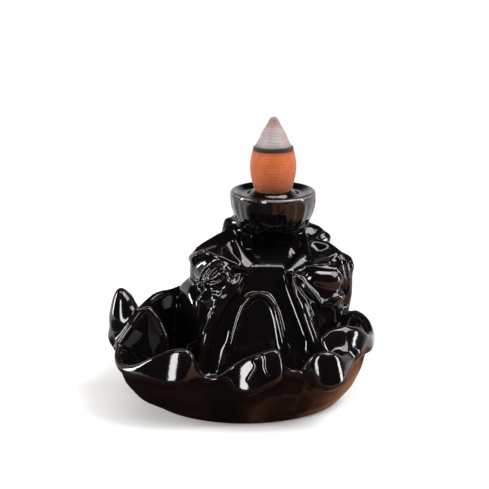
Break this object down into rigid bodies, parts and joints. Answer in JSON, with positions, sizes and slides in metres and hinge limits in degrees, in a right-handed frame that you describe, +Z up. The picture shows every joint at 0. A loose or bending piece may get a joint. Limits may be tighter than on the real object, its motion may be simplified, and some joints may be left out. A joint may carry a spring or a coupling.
{
  "type": "backflow incense burner",
  "caption": "Glazed ceramic lotus-pond backflow incense burner: a ruffled leaf dish, a leafy hill with a cup and a smoke slide, and a partly burnt incense cone in the cup.",
  "frame": {"origin": "middle of the flat foot, on the table", "axes": "+Z up, front of the dish towards -Y, bud side towards -X"},
  "size_m": [0.105, 0.0925, 0.1069],
  "materials": {
    "glaze": "gloss",
    "incense": "matte"
  },
  "bodies": {
    "root": {"burner_body": "glaze", "incense_cone": "incense"}
  },
  "joints": []
}
